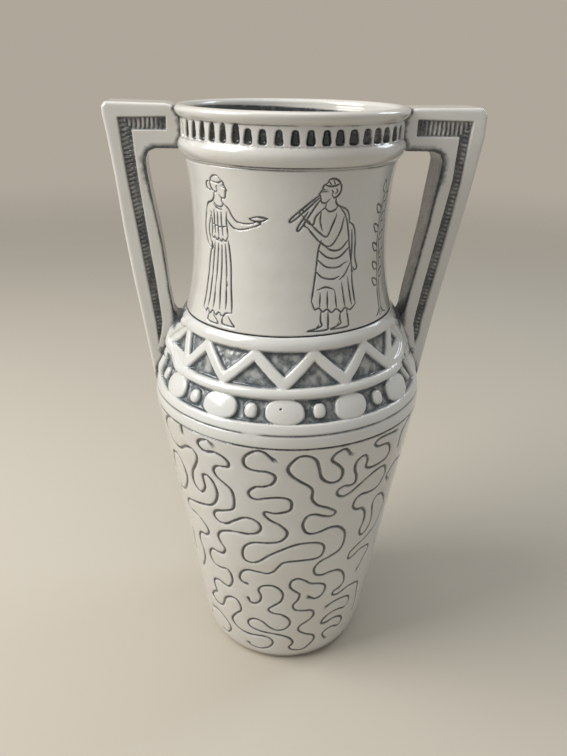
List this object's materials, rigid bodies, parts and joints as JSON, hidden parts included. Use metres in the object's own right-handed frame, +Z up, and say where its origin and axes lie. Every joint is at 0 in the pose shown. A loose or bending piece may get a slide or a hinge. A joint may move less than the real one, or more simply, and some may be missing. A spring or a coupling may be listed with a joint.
{
  "type": "two-handled vase",
  "caption": "Tall two-handled stoneware vase with a carved shoulder band, a slotted collar and angular strap handles.",
  "frame": {"origin": "middle of the foot's flat underside, on the table", "axes": "+Z up through the middle of the mouth; the handles reach out along -X and +X; -Y is the front"},
  "size_m": [0.1616, 0.1314, 0.28],
  "materials": {
    "foot_glaze": "thin cream glaze over grey stoneware, stained dark near the table",
    "body_glaze": "glossy cream glaze over incised lines filled with a blue-grey stain",
    "relief_glaze": "glossy cream glaze on the raised rolls, zigzag and beads, blue-grey stain in the carved ground",
    "neck_glaze": "glossy cream glaze with thin incised drawing in a dark stain",
    "collar_glaze": "glossy cream glaze, dark stain in the slots and along the roll",
    "handle_glaze": "glossy cream glaze, blue-grey stain in the long channels and on the inner faces"
  },
  "bodies": {
    "root": {"foot_base": "foot_glaze", "body_wall": "body_glaze", "shoulder_band": "relief_glaze", "neck_wall": "neck_glaze", "rim_collar": "collar_glaze", "handle_left": "handle_glaze", "handle_right": "handle_glaze"}
  },
  "joints": []
}
